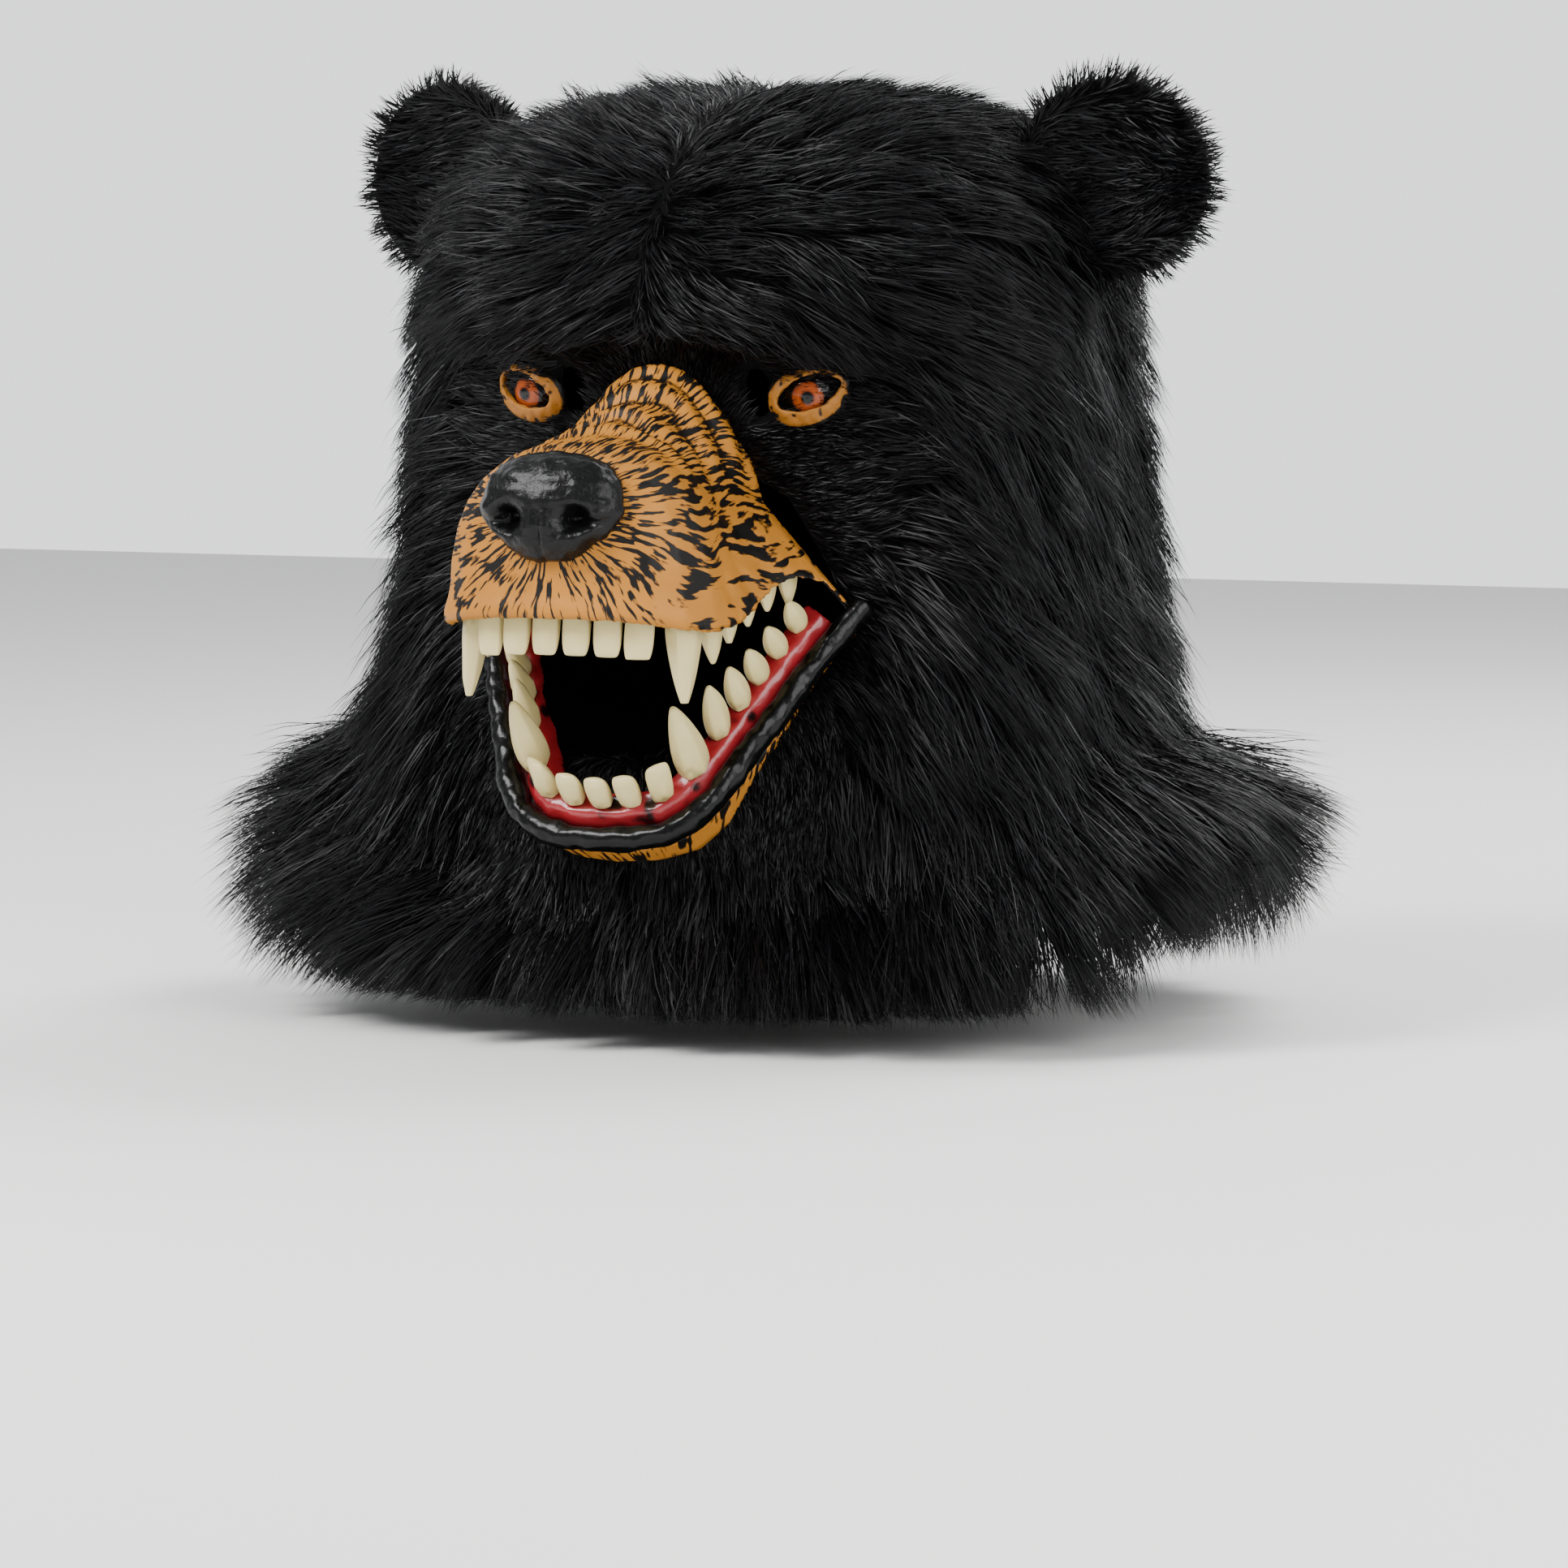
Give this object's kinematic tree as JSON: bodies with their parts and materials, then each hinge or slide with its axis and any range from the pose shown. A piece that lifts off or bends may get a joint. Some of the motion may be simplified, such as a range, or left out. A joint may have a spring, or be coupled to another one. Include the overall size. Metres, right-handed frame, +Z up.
{
  "type": "bear mask",
  "caption": "Over-the-head black fur bear mask with an open snarling mouth, ivory teeth, tan muzzle, shiny black nose and cup ears.",
  "frame": {"origin": "the inside of the crown, where the top of the wearer's head rests", "axes": "+Z up, the face looks towards -Y, +X is the wearer's left"},
  "size_m": [0.439, 0.3911, 0.3591],
  "materials": {
    "hood_cloth": "matte woven backing",
    "black_fur": "black faux fur",
    "tan_latex": "painted latex with dark washes",
    "black_latex": "semi-gloss black latex",
    "dark_gum": "dark painted latex",
    "red_gum": "gloss red latex",
    "tooth_ivory": "semi-gloss ivory",
    "eye": "gloss, rust iris on black"
  },
  "bodies": {
    "root": {"ear_left": "black_fur", "ear_right": "black_fur", "eyeball_left": "eye", "eyeball_right": "eye", "eyelid_left": "tan_latex", "eyelid_right": "tan_latex", "hood": "hood_cloth", "hood_fur": "black_fur", "lower_canine_left": "tooth_ivory", "lower_canine_right": "tooth_ivory", "lower_cheek_1_left": "tooth_ivory", "lower_cheek_1_right": "tooth_ivory", "lower_cheek_2_left": "tooth_ivory", "lower_cheek_2_right": "tooth_ivory", "lower_cheek_3_left": "tooth_ivory", "lower_cheek_3_right": "tooth_ivory", "lower_cheek_4_left": "tooth_ivory", "lower_cheek_4_right": "tooth_ivory", "lower_cheek_5_left": "tooth_ivory", "lower_cheek_5_right": "tooth_ivory", "lower_gum": "red_gum", "lower_incisor_1": "tooth_ivory", "lower_incisor_2_left": "tooth_ivory", "lower_incisor_2_right": "tooth_ivory", "lower_incisor_3_left": "tooth_ivory", "lower_incisor_3_right": "tooth_ivory", "lower_jaw": "tan_latex", "lower_lip": "black_latex", "muzzle": "tan_latex", "nose": "black_latex", "upper_canine_left": "tooth_ivory", "upper_canine_right": "tooth_ivory", "upper_cheek_1_left": "tooth_ivory", "upper_cheek_1_right": "tooth_ivory", "upper_cheek_2_left": "tooth_ivory", "upper_cheek_2_right": "tooth_ivory", "upper_cheek_3_left": "tooth_ivory", "upper_cheek_3_right": "tooth_ivory", "upper_cheek_4_left": "tooth_ivory", "upper_cheek_4_right": "tooth_ivory", "upper_cheek_5_left": "tooth_ivory", "upper_cheek_5_right": "tooth_ivory", "upper_gum": "dark_gum", "upper_incisor_1_left": "tooth_ivory", "upper_incisor_1_right": "tooth_ivory", "upper_incisor_2_left": "tooth_ivory", "upper_incisor_2_right": "tooth_ivory", "upper_incisor_3_left": "tooth_ivory", "upper_incisor_3_right": "tooth_ivory"}
  },
  "joints": []
}
